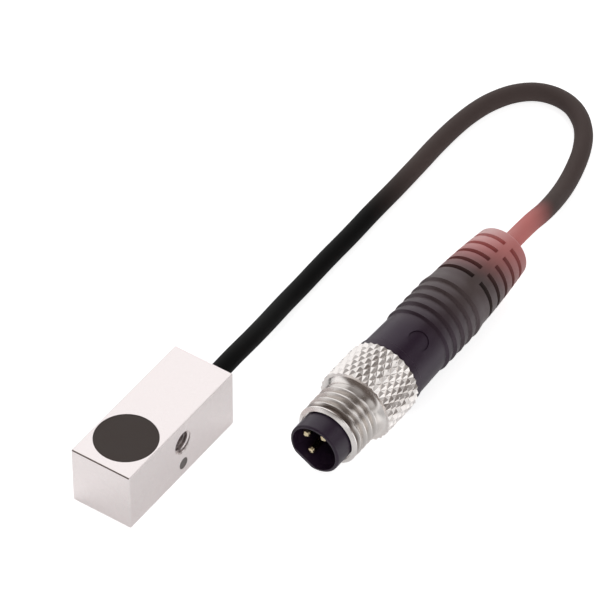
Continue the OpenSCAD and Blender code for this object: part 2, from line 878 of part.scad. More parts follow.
// Diamond knurl: a sleeve whose outside rises to a point between crossing thirty-degree grooves
module knurl(start, end) {
  around = 2 * knurl_count;
  pitch = 2 * PI * knurl_r / knurl_count;
  rows = max(2, round((end - start) / (pitch / tan(30) / 2)));
  inner_r = ring_core_r - 0.1;
  outer = [
    for (j = [0 : rows], i = [0 : around - 1])
      let (r = (i + j) % 2 == 0 ? knurl_root_r : knurl_r, a = 360 * i / around)
        [start + (end - start) * j / rows, r * cos(a), r * sin(a)]
  ];
  inner = [
    for (x = [start, end], i = [0 : around - 1])
      [x, inner_r * cos(360 * i / around), inner_r * sin(360 * i / around)]
  ];
  base = len(outer);
  last = rows * around;
  skin = [
    for (j = [0 : rows - 1], i = [0 : around - 1])
      let (n = (i + 1) % around, a = j * around + i, b = j * around + n, c = a + around, d = b + around)
        each (i + j) % 2 == 0 ? [[a, d, b], [a, c, d]] : [[a, c, b], [b, c, d]]
  ];
  ends = [
    for (i = [0 : around - 1])
      let (n = (i + 1) % around)
        each [
          [base + i, i, n], [base + i, n, base + n],
          [base + around + i, last + n, last + i], [base + around + i, base + around + n, last + n],
          [base + i, base + n, base + around + n], [base + i, base + around + n, base + around + i]
        ]
  ];
  polyhedron(points = concat(outer, inner), faces = concat(skin, ends));
}

// Screw ring: rim, groove, threaded stretch at its outer diameter, shoulder and knurl
module coupling_ring() {
  knurl_from = knurl_start + ring_bevel;
  knurl_to = ring_end - ring_bevel;
  color([0.78, 0.77, 0.75])
    in_plug_place() {
      turned([
        [ring_front, nose_r + ring_gap], [ring_front, thread_r - 0.2], [ring_front + 0.15, thread_r],
        [ring_front + rim_l - 0.05, thread_r], [ring_front + rim_l, groove_r],
        [thread_start, groove_r], [thread_start, thread_r], [thread_end, thread_r],
        for (k = [0 : shoulder_steps]) let (a = shoulder_sweep * k / shoulder_steps) [
          thread_end + shoulder_curve_r * sin(a),
          shoulder_r + shoulder_curve_r * (1 - cos(a))
        ],
        [knurl_from, ring_core_r],
        [knurl_to, ring_core_r], [ring_end, ring_core_r - ring_bevel],
        [ring_end, sleeve_r + ring_gap], [sleeve_start - ring_gap, sleeve_r + ring_gap],
        [sleeve_start - ring_gap, neck_r + shaft_gap], [flange_end + ring_gap, neck_r + shaft_gap],
        [flange_end + ring_gap, nose_r + ring_gap]
      ]);
      knurl(knurl_from, knurl_to);
    }
}

housing();
sensing_cap();
ferrite_core();
coil_bobbin();
coil_winding();
coil_lead_in();
coil_lead_out();
circuit_board();
oscillator_chip();
output_transistor();
protection_diode();
filter_capacitor();
supply_capacitor();
gain_resistor();
status_led();
light_window();
potting_compound();
cord_bush();
sensor_wire_brown();
sensor_wire_blue();
sensor_wire_black();
cord();
grip_overmould();
inner_premould();
plug_shell();
contact_carrier();
contact_pin_1();
contact_pin_3();
contact_pin_4();
plug_wire_brown();
plug_wire_blue();
plug_wire_black();
coupling_ring();
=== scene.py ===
"""Looks of a small block-shaped proximity sensor with a thin cord and a three-pin screw plug."""

import math

import bpy
from bpy.props import FloatProperty, FloatVectorProperty, IntProperty, PointerProperty
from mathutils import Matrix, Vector


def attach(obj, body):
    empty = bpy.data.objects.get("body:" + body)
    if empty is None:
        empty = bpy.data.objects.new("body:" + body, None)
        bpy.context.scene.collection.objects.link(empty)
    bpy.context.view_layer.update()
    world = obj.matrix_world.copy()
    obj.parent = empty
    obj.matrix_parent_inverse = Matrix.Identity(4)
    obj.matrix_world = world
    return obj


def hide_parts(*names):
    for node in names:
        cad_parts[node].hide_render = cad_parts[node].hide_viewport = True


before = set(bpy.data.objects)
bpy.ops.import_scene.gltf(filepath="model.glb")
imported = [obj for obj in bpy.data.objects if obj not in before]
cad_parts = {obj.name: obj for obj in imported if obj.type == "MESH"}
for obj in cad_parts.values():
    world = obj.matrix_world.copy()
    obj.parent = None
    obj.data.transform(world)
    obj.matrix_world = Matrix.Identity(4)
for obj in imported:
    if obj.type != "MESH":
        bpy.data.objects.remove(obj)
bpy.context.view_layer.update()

bl_info = {
    "name": "Proximity sensor with plug lead",
    "version": (1, 0, 0),
    "blender": (4, 5, 0),
    "location": "3D View > Sidebar > Sensor",
    "description": "Models and finishes the sensor block, its cord and its screw plug",
    "category": "Object",
}

# A millimetre in metres, and the bodies that the pieces ride on
MM = 0.001
SENSOR = "sensor_and_lead"
RING = "screw_ring"

# Middle of the cross hole and the block's width that it goes through, in metres, and the place of the
# block's front end, in millimetres
HOLE = Vector((0.2, 0, 5.1)) * MM
BLOCK_WIDTH = 8 * MM
BLOCK_END = -10

# Front centre of the plug's nose
NOSE = Vector((7.9, -16.5, 4.8)) * MM

# Outlines of the screw ring, as pairs of the way from the nose's front and the radius, in millimetres.
# RIM goes from the mouth over the rim and its groove to the start of the thread, whose root ends at
# ROOT_END. RUN_OUT leads on to the shoulder, SHOULDER are the ends of its hollow curve, and BORE leads
# back inside.
RIM = [
    (2.5, 3.44), (2.53, 3.49), (2.72, 3.85), (2.77, 3.92), (2.9, 3.93), (2.94, 3.88), (2.96, 3.22),
    (3, 3.2), (3.68, 3.88), (3.76, 3.9), (3.82, 3.84), (4, 3.45),
]
ROOT_END = 6.55
RUN_OUT = [(7, 3.6), (7.25, 3.74)]
SHOULDER, SHOULDER_STEPS, SHOULDER_LEAN = [(7.4, 3.8), (8.1, 4.32)], 8, 0.35
BORE = [(14.1, 3.98), (14.06, 3.95), (8.5, 3.95), (8.5, 2.96), (2.9, 2.96), (2.9, 3.42)]

# The thread's ridge is trimmed at both ends to a form that rises from TRIM_START to the crest, follows
# it from CREST_FROM to CREST_TO and falls to TRIM_END.
TRIM_START, TRIM_END = [(3.75, 3.1), (3.75, 3.3)], [(7.6, 3.83), (7.6, 3.1)]
CREST_FROM, CREST_TO = 3.85, 7.1

# Painted shade on the ring: the nickel is painted darker from one radius in to the other, from the rim's back
# on, and darkest in the groove up to the thread's first flank
SHADE_FROM, SHADE_FULL = 4.2, 3.5
RIM_BACK, GROOVE_START, GROOVE_FULL, GROOVE_END = 2.92, 3, 3.4, 3.65

# First and last row of the knurl's points, the steps from one to the other, and how much lower the points
# at its edges stand
KNURL_FROM, KNURL_TO, KNURL_STEPS, KNURL_EDGE_DROP = 8.16, 14.04, 7, 0.06

# First rib of the grip and the way from rib to rib, then the circles of a rib: the way from its front,
# the radius of the CAD rib and the radius here. The last rib runs out into the tail.
RIBS_START, RIB_PITCH, RIB_COUNT = 20.7, 1.6, 5
RIB_CIRCLES = [(0, 4.17, 4.12), (0.12, 4.303, 4.205), (0.3, 4.36, 4.38), (0.8, 4.345, 4.32)]
RIB_END = [(1.28, 4.265, 4.215)]
LAST_RIB_END = [(1.28, 4.265, 4.235), (1.6, 4.14, 4.175)]

# Where the painted reddish light and the painted pale light on its upper side at the plug's rear end, and the
# brownish tint of the cord's loop, have their middle
RED_LIGHT_PLACE = NOSE + Vector((41, 3, 3.2)) * MM
PALE_LIGHT_PLACE = NOSE + Vector((39.6, 4, 4.7)) * MM
LOOP_PLACE = Vector((74, -5, 1)) * MM

# Middle of the floor and of the object, in metres, at which the lamps point
FLOOR_PLACE = (0.03, -0.01, 0)
OBJECT_MIDDLE = (0.03, -0.006, 0)

# What shines sees of the white room. Each pair holds the cosines to a direction at which a lit part
# starts and is full: the backdrop's side, the ceiling, the table, and soft panels with their levels. The
# rest is dim.
BACKDROP_SIDE, BACKDROP_EDGES = (0.574, 0.819, 0), (0.2, 0.5)
CEILING_EDGES, CEILING_LEVEL = (0.8, 1.0), 0.3
TABLE_EDGES = (0.24, 0.06)
PANELS = (((0.5, -0.65, 0.572), (0.94, 0.994), 1.0), ((-0.15, -0.86, 0.49), (0.93, 0.994), 0.6))
DIM_SIDE = (0.11, 0.09, 0.08, 1)

# Strength of the room as light and as it is seen, and glow of the paper as light and for the camera
ROOM_LEVELS = (0.15, 1.05)
PAPER_LEVELS = (0.25, 0.75)

# What the paper's glow gains in reflections before the block's end, and at the start and the end of its
# stretch along the ring
END_GAIN = 0.09
RING_GAINS = (-0.25, 0.4)

# Stretches of the paper over which these gains set in: before the block's end, out from the plug's side,
# from the plug's rear towards the ring, and along the ring, in millimetres
END_STRETCH = (BLOCK_END + 1.5, BLOCK_END - 1.5)
SIDE_STRETCH, REAR_STRETCH, RING_STRETCH = (-24, -30), (60, 45), (8, 16)

# Centreline of the cord from the bush to the plug's rear, in millimetres
ROUTE = [
    (10, 0, 3.7), (13, 0, 3.7), (16, 0.1, 3.6), (20, 0.4, 3), (24, 0.9, 2.2), (28, 1.4, 1.5),
    (32, 1.6, 1.2), (37, 1.7, 1.2), (42, 1.7, 1.2), (47, 1.8, 1.2), (52, 1.8, 1.2), (57, 1.9, 1.2),
    (61, 2, 1.2), (65, 1.9, 1.2), (68.4, 1.5, 1.2), (71.3, 0.7, 1.2), (73.9, -0.7, 1.2),
    (75.7, -2.7, 1.2), (76.38, -5.1, 1.2), (76, -7.6, 1.2), (74.6, -9.8, 1.2), (72.5, -11.6, 1.2),
    (69.7, -13, 1.2), (66.5, -14, 1.2), (63.2, -14.8, 1.5), (59.8, -15.5, 2.3), (56.4, -16.1, 3.4),
    (53.2, -16.4, 4.4), (50, -16.5, 4.8), (47, -16.5, 4.8),
]


# Sizes and colours that a user would change


def length(name, description, default):
    """A size in metres, given in millimetres."""
    return FloatProperty(
        name=name, description=description, default=default * MM, min=0, unit="LENGTH", precision=5
    )


def colour(name, description, default):
    """A linear colour of a finish."""
    return FloatVectorProperty(
        name=name, description=description, default=default, min=0, max=1, size=3, subtype="COLOR"
    )


class PlugSizes(bpy.types.PropertyGroup):
    """Sizes of the plug's screw ring and grip"""

    thread_pitch: length("Thread pitch", "Distance from turn to turn of the plug's thread", 1.0)
    thread_crest: length("Thread crest", "Radius over the thread's crests", 3.95)
    thread_root: length("Thread root", "Radius at the thread's roots", 3.42)
    knurl_peak: length("Knurl peak", "Radius over the knurl's points", 4.8)
    knurl_root: length("Knurl root", "Radius at the bottom of the knurl's grooves", 4.55)
    knurl_flat: length("Knurl flat", "How far each knurl point is cut back", 0.1)
    knurl_count: IntProperty(
        name="Knurl points", description="Number of points round the ring", default=32, min=12
    )


class BlockSizes(bpy.types.PropertyGroup):
    """Sizes of the block's cross hole"""

    hole_radius: length("Hole radius", "Tapping radius of the cross hole", 1.25)
    screw_radius: length("Screw radius", "Outer radius of the cross hole's thread", 1.5)
    screw_pitch: length("Screw pitch", "Distance from turn to turn of the cross hole's thread", 0.5)


class CordSizes(bpy.types.PropertyGroup):
    """Sizes of the cord"""

    diameter: length("Diameter", "Outer diameter of the cord", 2.3)


class Colours(bpy.types.PropertyGroup):
    """Colours of the visible finishes"""

    block: colour("Block", "Satin nickel of the block", (0.93, 0.86, 0.855))
    ring: colour("Ring", "Bright nickel of the screw ring", (0.92, 0.875, 0.85))
    # Thread and Groove are painted shade: the nickel painted darker in the thread's grooves and in the groove
    # behind the rim
    thread: colour("Thread", "Duller nickel in the grooves of the ring's thread", (0.64, 0.6, 0.57))
    groove: colour("Groove", "Dull nickel of the groove behind the ring's rim", (0.26, 0.22, 0.2))
    face: colour("Sensing face", "Dark plastic of the sensing face", (0.055, 0.040, 0.035))
    plastic: colour("Grip", "Soft plastic of the grip", (0.017, 0.0065, 0.019))
    nose: colour("Nose", "Hard plastic of the plug's nose", (0.029, 0.0155, 0.033))
    insert: colour("Insert", "Plastic of the insert that holds the pins", (0.006, 0.004, 0.007))
    jacket: colour("Cord", "Jacket of the cord", (0.003, 0.003, 0.003))
    gold: colour("Gold", "Plating of the contact pins", (0.74, 0.63, 0.42))
    window: colour("Window", "Milky plastic of the light window", (0.09, 0.07, 0.062))
    # Reddish light and Pale light are painted light: a reddish glow round the plug's rear end and the cord's
    # first stretch, and paler light on the upper side of that end
    red: colour("Reddish light", "Warm tint round the plug's rear end", (0.74, 0.255, 0.24))
    pink: colour("Pale light", "Palest tint at the plug's rear end", (0.92, 0.66, 0.64))
    brown: colour("Brownish jacket", "Tint of the loop and the rear of the grip", (0.095, 0.070, 0.065))


def sizes(which):
    """The values of one property group."""
    return getattr(bpy.context.scene, which)


# Modelling helpers


def clear_selection():
    """Leaves edit mode and deselects everything."""
    if bpy.context.object and bpy.context.object.mode != "OBJECT":
        bpy.ops.object.mode_set(mode="OBJECT")
    bpy.ops.object.select_all(action="DESELECT")


def pick(obj):
    """Makes a piece the only selected and active one."""
    clear_selection()
    obj.select_set(True)
    bpy.context.view_layer.objects.active = obj


def settle(obj):
    """Puts a piece's place, turn and scale into its mesh."""
    pick(obj)
    bpy.ops.object.transform_apply(location=True, rotation=True, scale=True)


def use(obj, kind, **values):
    """Adds a modifier to a piece with these values and applies it."""
    pick(obj)
    made = obj.modifiers.new(kind.title(), kind)
    for key, value in values.items():
        setattr(made, key, value)
    bpy.ops.object.modifier_apply(modifier=made.name)


def merge_points(obj):
    """Merges the points of a piece that lie within a micrometre of each other."""
    pick(obj)
    bpy.ops.object.mode_set(mode="EDIT")
    bpy.ops.mesh.select_all(action="SELECT")
    bpy.ops.mesh.remove_doubles(threshold=1e-6)
    bpy.ops.mesh.select_all(action="DESELECT")
    bpy.ops.object.mode_set(mode="OBJECT")


def cut(obj, tool, operation="DIFFERENCE"):
    """Boolean of a piece with a tool, which is removed. Points that meet at the cut are merged."""
    use(obj, "BOOLEAN", operation=operation, object=tool, solver="EXACT")
    bpy.data.objects.remove(tool)
    merge_points(obj)


def select_points(obj, indices):
    """Selects these points of a piece and leaves it in edit mode."""
    pick(obj)
    bpy.ops.object.mode_set(mode="EDIT")
    bpy.ops.mesh.select_mode(type="VERT")
    bpy.ops.mesh.select_all(action="DESELECT")
    bpy.ops.object.mode_set(mode="OBJECT")
    for index in indices:
        obj.data.vertices[index].select = True
    bpy.ops.object.mode_set(mode="EDIT")


def merged_copy(name, node):
    """Copy of a CAD node's mesh with its points merged, to be worked on."""
    clear_selection()
    obj = bpy.data.objects.new(name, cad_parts[node].data.copy())
    bpy.context.scene.collection.objects.link(obj)
    merge_points(obj)
    bpy.ops.mesh.customdata_custom_splitnormals_clear()
    return obj


def in_metres(outline):
    """An outline given in millimetres, in metres."""
    return [(x * MM, r * MM) for x, r in outline]


def hollow_curve(start, end, steps, lean):
    """Outline points of an arc that leaves the first point at a lean and rises to the second."""
    along, rise = end[0] - start[0], end[1] - start[1]
    last = 2 * math.atan(rise / along) - lean
    radius = along / (math.sin(last) - math.sin(lean))
    angles = [lean + (last - lean) * k / steps for k in range(steps + 1)]
    x0, r0 = start[0] - radius * math.sin(lean), start[1] + radius * math.cos(lean)
    return [(x0 + radius * math.sin(a), r0 - radius * math.cos(a)) for a in angles]


def smooth(obj, degrees):
    """Smooth shading, with sharp edges where faces meet at more than this angle."""
    pick(obj)
    bpy.ops.object.shade_smooth_by_angle(angle=math.radians(degrees))


def dress(obj, material, body, replaces):
    """Gives a finished piece its material and its body, and hides the nodes that it stands for."""
    settle(obj)
    obj.data.materials.clear()
    obj.data.materials.append(material)
    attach(obj, body)
    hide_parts(*replaces)


def select_open_edges():
    """Selects the open edges of the piece in edit mode."""
    bpy.ops.mesh.select_all(action="DESELECT")
    bpy.ops.mesh.select_mode(type="EDGE")
    bpy.ops.mesh.select_non_manifold(
        extend=False, use_wire=False, use_multi_face=False, use_non_contiguous=False
    )


def turned(name, outline, columns):
    """A form turned about the plug's axis: a circle is extruded and scaled from point to point of the
    outline, whose points are the way from the nose's front and the radius, and its last circle is
    bridged back to its first."""
    clear_selection()
    start, radius = outline[0]
    bpy.ops.mesh.primitive_circle_add(
        vertices=columns, radius=radius, location=NOSE + Vector((start, 0, 0)),
        rotation=(math.pi / 2, 0, math.pi / 2),
    )
    obj = bpy.context.object
    obj.name = name
    settle(obj)
    bpy.ops.object.mode_set(mode="EDIT")
    bpy.ops.mesh.select_mode(type="VERT")
    bpy.ops.mesh.select_all(action="SELECT")
    for (x0, r0), (x1, r1) in zip(outline, outline[1:]):
        bpy.ops.mesh.extrude_edges_move(TRANSFORM_OT_translate={"value": (x1 - x0, 0, 0)})
        scale = r1 / r0
        bpy.ops.transform.resize(value=(1, scale, scale), center_override=NOSE + Vector((x1, 0, 0)))
    select_open_edges()
    bpy.ops.mesh.bridge_edge_loops()
    bpy.ops.mesh.select_all(action="SELECT")
    bpy.ops.mesh.normals_make_consistent(inside=False)
    bpy.ops.mesh.select_all(action="DESELECT")
    bpy.ops.object.mode_set(mode="OBJECT")
    return obj


def screw_ridge(name, centre, start, pitch, turns, steps, base, crest, foot, flat):
    """Helical ridge along X: its section is swept with the Screw modifier. The base radius lies inside
    the body that carries it; foot and flat are half the section's width there and at the crest."""
    clear_selection()
    bpy.ops.mesh.primitive_plane_add(size=1, location=centre)
    obj = bpy.context.object
    obj.name = name
    settle(obj)
    corners = [(-foot, base), (foot, base), (-flat, crest), (flat, crest)]
    for vertex, (x, r) in zip(obj.data.vertices, corners):
        vertex.co = centre + Vector((start + x, 0, r))
    bpy.context.scene.cursor.location = centre
    pick(obj)
    bpy.ops.object.origin_set(type="ORIGIN_CURSOR")
    use(
        obj, "SCREW", axis="X", angle=2 * math.pi, screw_offset=pitch, iterations=turns, steps=steps,
        render_steps=steps, use_merge_vertices=True, merge_threshold=1e-7,
    )
    settle(obj)
    bpy.ops.object.mode_set(mode="EDIT")
    select_open_edges()
    bpy.ops.mesh.fill_holes(sides=4)
    bpy.ops.mesh.select_all(action="SELECT")
    bpy.ops.mesh.normals_make_consistent(inside=False)
    bpy.ops.mesh.select_all(action="DESELECT")
    bpy.ops.object.mode_set(mode="OBJECT")
    return obj


# Shader groups and finishes


def new_group(name, inputs, outputs):
    """An empty shader group with these sockets, and its input and output nodes."""
    group = bpy.data.node_groups.new(name, "ShaderNodeTree")
    for label, kind, default in inputs:
        socket = group.interface.new_socket(name=label, in_out="INPUT", socket_type=kind)
        if default is not None:
            socket.default_value = default
    for label, kind in outputs:
        group.interface.new_socket(name=label, in_out="OUTPUT", socket_type=kind)
    return group, group.nodes.new("NodeGroupInput"), group.nodes.new("NodeGroupOutput")


def noise(tree, vector, scale, detail, x, y):
    """Noise whose place and scale come from sockets."""
    node = tree.nodes.new("ShaderNodeTexNoise")
    node.location = (x, y)
    node.inputs["Detail"].default_value = detail
    tree.links.new(vector, node.inputs["Vector"])
    tree.links.new(scale, node.inputs["Scale"])
    return node


def give(tree, socket, value):
    """Sets a socket to a number or colour, or links it to another socket."""
    if isinstance(value, (int, float, tuple)):
        socket.default_value = value
    else:
        tree.links.new(value, socket)


def math_node(tree, operation, first, second, x, y, clamp=False):
    """Calculation with two values."""
    node = tree.nodes.new("ShaderNodeMath")
    node.operation = operation
    node.use_clamp = clamp
    node.location = (x, y)
    give(tree, node.inputs[0], first)
    give(tree, node.inputs[1], second)
    return node.outputs[0]


def spread(tree, value, low, high, x, y):
    """Maps a value from 0..1 to low..high."""
    node = tree.nodes.new("ShaderNodeMapRange")
    node.location = (x, y)
    tree.links.new(value, node.inputs["Value"])
    give(tree, node.inputs["To Min"], low)
    give(tree, node.inputs["To Max"], high)
    return node.outputs["Result"]


def step_mask(tree, value, low, high, x, y):
    """Soft step from 0 at the low value to 1 at the high one."""
    node = tree.nodes.new("ShaderNodeMapRange")
    node.interpolation_type = "SMOOTHSTEP"
    node.location = (x, y)
    node.inputs["From Min"].default_value = low
    node.inputs["From Max"].default_value = high
    tree.links.new(value, node.inputs["Value"])
    return node.outputs["Result"]


def grain_group():
    """Fine grain: cloudy shading of a colour, uneven roughness and a height for bump."""
    group, gi, go = new_group(
        "Fine grain",
        [
            ("Vector", "NodeSocketVector", None), ("Colour", "NodeSocketColor", (0.5, 0.5, 0.5, 1)),
            ("Cloud scale", "NodeSocketFloat", 400.0), ("Grain scale", "NodeSocketFloat", 9000.0),
            ("Cloud amount", "NodeSocketFloat", 0.1), ("Roughness", "NodeSocketFloat", 0.5),
            ("Roughness spread", "NodeSocketFloat", 0.1),
        ],
        [("Colour", "NodeSocketColor"), ("Roughness", "NodeSocketFloat"), ("Height", "NodeSocketFloat")],
    )
    gi.location, go.location = (-900, 0), (500, 0)
    cloud = noise(group, gi.outputs["Vector"], gi.outputs["Cloud scale"], 3.0, -600, 200)
    grain = noise(group, gi.outputs["Vector"], gi.outputs["Grain scale"], 2.0, -600, -200)
    low = math_node(group, "SUBTRACT", 1.0, gi.outputs["Cloud amount"], -600, 420)
    high = math_node(group, "ADD", 1.0, gi.outputs["Cloud amount"], -600, 560)
    factor = spread(group, cloud.outputs["Fac"], low, high, -300, 300)
    scaled = group.nodes.new("ShaderNodeVectorMath")
    scaled.operation = "SCALE"
    scaled.location = (0, 300)
    group.links.new(gi.outputs["Colour"], scaled.inputs[0])
    group.links.new(factor, scaled.inputs["Scale"])
    group.links.new(scaled.outputs[0], go.inputs["Colour"])
    mixed = math_node(group, "ADD", cloud.outputs["Fac"], grain.outputs["Fac"], -300, 0)
    centred = math_node(group, "SUBTRACT", mixed, 1.0, -150, 0)
    swing = math_node(group, "MULTIPLY", centred, gi.outputs["Roughness spread"], 0, 0)
    rough = math_node(group, "ADD", swing, gi.outputs["Roughness"], 150, 0, clamp=True)
    group.links.new(rough, go.inputs["Roughness"])
    group.links.new(grain.outputs["Fac"], go.inputs["Height"])
    return group


def near_group():
    """Mask that is 1 near a point and falls to 0 at a distance."""
    group, gi, go = new_group(
        "Near a point",
        [
            ("Vector", "NodeSocketVector", None), ("Point", "NodeSocketVector", (0, 0, 0)),
            ("Full within", "NodeSocketFloat", 0.002), ("None beyond", "NodeSocketFloat", 0.02),
        ],
        [("Mask", "NodeSocketFloat")],
    )
    gi.location, go.location = (-600, 0), (300, 0)
    apart = group.nodes.new("ShaderNodeVectorMath")
    apart.operation = "DISTANCE"
    apart.location = (-300, 0)
    group.links.new(gi.outputs["Vector"], apart.inputs[0])
    group.links.new(gi.outputs["Point"], apart.inputs[1])
    ease = group.nodes.new("ShaderNodeMapRange")
    ease.interpolation_type = "SMOOTHSTEP"
    ease.location = (0, 0)
    group.links.new(apart.outputs["Value"], ease.inputs["Value"])
    group.links.new(gi.outputs["Full within"], ease.inputs["From Min"])
    group.links.new(gi.outputs["None beyond"], ease.inputs["From Max"])
    ease.inputs["To Min"].default_value = 1.0
    ease.inputs["To Max"].default_value = 0.0
    group.links.new(ease.outputs["Result"], go.inputs["Mask"])
    return group


# The shader groups that are built so far, by the names of the functions that build them
GROUPS = {}


def group_node(tree, build, x, y, **values):
    """Places a shader group, which is built once, with its own values."""
    if build.__name__ not in GROUPS:
        GROUPS[build.__name__] = build()
    node = tree.nodes.new("ShaderNodeGroup")
    node.node_tree = GROUPS[build.__name__]
    node.location = (x, y)
    for label, value in values.items():
        node.inputs[label.replace("_", " ")].default_value = value
    return node


def finish(name, colour, roughness, metal=0.0, cloud=0.08, cloud_scale=400.0, grain_scale=9000.0,
           spread_by=0.1, bump=0.1, bump_size=0.00001, coat=0.0, specular=0.5, stretch=(1, 1, 1)):
    """Procedural finish on object coordinates: uneven colour and roughness, and a fine bump."""
    material = bpy.data.materials.new(name)
    material.use_nodes = True
    tree = material.node_tree
    shader = tree.nodes["Principled BSDF"]
    shader.inputs["Metallic"].default_value = metal
    shader.inputs["Specular IOR Level"].default_value = specular
    shader.inputs["Coat Weight"].default_value = coat
    shader.inputs["Coat Roughness"].default_value = 0.2
    place = tree.nodes.new("ShaderNodeTexCoord")
    place.location = (-1200, 0)
    mapping = tree.nodes.new("ShaderNodeMapping")
    mapping.location = (-1000, 0)
    mapping.inputs["Scale"].default_value = stretch
    tree.links.new(place.outputs["Object"], mapping.inputs["Vector"])
    grain = group_node(
        tree, grain_group, -700, 0, Colour=(*colour, 1), Cloud_scale=cloud_scale, Grain_scale=grain_scale,
        Cloud_amount=cloud, Roughness=roughness, Roughness_spread=spread_by,
    )
    tree.links.new(mapping.outputs["Vector"], grain.inputs["Vector"])
    tree.links.new(grain.outputs["Colour"], shader.inputs["Base Color"])
    tree.links.new(grain.outputs["Roughness"], shader.inputs["Roughness"])
    relief = tree.nodes.new("ShaderNodeBump")
    relief.location = (-300, -300)
    relief.inputs["Strength"].default_value = bump
    relief.inputs["Distance"].default_value = bump_size
    tree.links.new(grain.outputs["Height"], relief.inputs["Height"])
    tree.links.new(relief.outputs["Normal"], shader.inputs["Normal"])
    return material, tree, shader, grain, place


def mix_colour(tree, mask, first, second, x, y):
    """Mixes two colours. The Mix node's colour sockets are its inputs 6 and 7 and its output 2."""
    node = tree.nodes.new("ShaderNodeMix")
    node.data_type = "RGBA"
    node.location = (x, y)
    tree.links.new(mask, node.inputs["Factor"])
    give(tree, node.inputs[6], first)
    give(tree, node.inputs[7], second)
    return node.outputs[2]


def add_tint_and_painted_light(tree, shader, grain, place, brown_place, brown_end, red_light_end):
    """Brownish tint round one place, and painted reddish light that turns to painted pale light on the upper
    side of the plug's rear end. Each has its middle, the way from it within which it is full and the way at
    which it ends, in metres."""
    colours = sizes("sensor_colours")
    tints_and_lights = (
        (brown_place, brown_end - 0.012, brown_end, colours.brown),
        (RED_LIGHT_PLACE, 0.0045, red_light_end, colours.red),
        (PALE_LIGHT_PLACE, 0.001, 0.007, colours.pink),
    )
    tinted_and_lit = grain.outputs["Colour"]
    for i, (point, full, none, shade) in enumerate(tints_and_lights):
        near = group_node(
            tree, near_group, -700, 500 + 250 * i, Point=point, Full_within=full, None_beyond=none
        )
        tree.links.new(place.outputs["Object"], near.inputs["Vector"])
        tinted_and_lit = mix_colour(tree, near.outputs["Mask"], tinted_and_lit, (*shade, 1), -350 + 150 * i, 500 + 250 * i)
    tree.links.new(tinted_and_lit, shader.inputs["Base Color"])


# Camera, cord and stage


class SENSOR_OT_aim_camera(bpy.types.Operator):
    """Place the camera at the viewing angle of the product photograph"""

    bl_idname = "sensor.aim_camera"
    bl_label = "Aim camera"

    def execute(self, context):
        azimuth, elevation, distance = math.radians(-55.477), math.radians(44.435), 0.6
        look_at = Vector((30.759, 1.114, 0)) * MM
        level = math.cos(elevation)
        back = Vector((math.sin(azimuth) * level, -math.cos(azimuth) * level, math.sin(elevation)))
        bpy.ops.object.camera_add(location=look_at + back * distance)
        camera = context.object
        camera.name = "photo_camera"
        camera.rotation_mode = "QUATERNION"
        camera.rotation_quaternion = (-back).to_track_quat("-Z", "Y")
        camera.data.sensor_width = 36
        camera.data.lens = 308.44
        camera.data.clip_start, camera.data.clip_end = 0.01, 10
        context.scene.camera = camera
        return {"FINISHED"}


class SENSOR_OT_lay_cord(bpy.types.Operator):
    """Lay the cord from the block's bush along its route to the plug"""

    bl_idname = "sensor.lay_cord"
    bl_label = "Lay cord"

    def execute(self, context):
        clear_selection()
        points = [Vector(p) * MM for p in ROUTE]
        bpy.ops.curve.primitive_nurbs_path_add(location=(0, 0, 0))
        cord = context.object
        cord.name = "cord_jacket"
        line = cord.data
        line.splines.clear()
        last = len(points) - 1
        spline = line.splines.new("BEZIER")
        spline.bezier_points.add(last)
        for i, (point, p) in enumerate(zip(spline.bezier_points, points)):
            before, after = points[max(i - 1, 0)], points[min(i + 1, last)]
            lean = (after - before) / 6
            if i in (0, last):
                lean = (after - before) / 3
            point.co = p
            point.handle_left_type = point.handle_right_type = "FREE"
            point.handle_left, point.handle_right = p - lean, p + lean
        line.dimensions = "3D"
        line.twist_mode = "MINIMUM"
        line.resolution_u = line.render_resolution_u = 6
        line.bevel_depth = sizes("cord_sizes").diameter / 2
        line.bevel_resolution = 6
        line.use_fill_caps = True
        dress_cord(cord)
        return {"FINISHED"}


def dress_cord(cord):
    """Gives the cord its jacket and its body, and hides the CAD cord."""
    jacket, tree, shader, grain, place = finish(
        "Cord jacket", tuple(sizes("sensor_colours").jacket), 0.6, cloud=0.12, cloud_scale=900.0,
        grain_scale=7000.0, bump=0.25, bump_size=0.00002, specular=0.12,
    )
    # Brownish tint round the loop, and painted reddish light with painted pale light near the plug's rear end
    add_tint_and_painted_light(tree, shader, grain, place, LOOP_PLACE, 0.03, 0.0108)
    cord.data.materials.append(jacket)
    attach(cord, SENSOR)
    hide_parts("cord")


class SENSOR_OT_join_lead(bpy.types.Operator):
    bl_idname = "sensor.join_lead"
    bl_label = "Join lead"

    def execute(self, context):
        sizes("cord_sizes").diameter
        return {"FINISHED"}


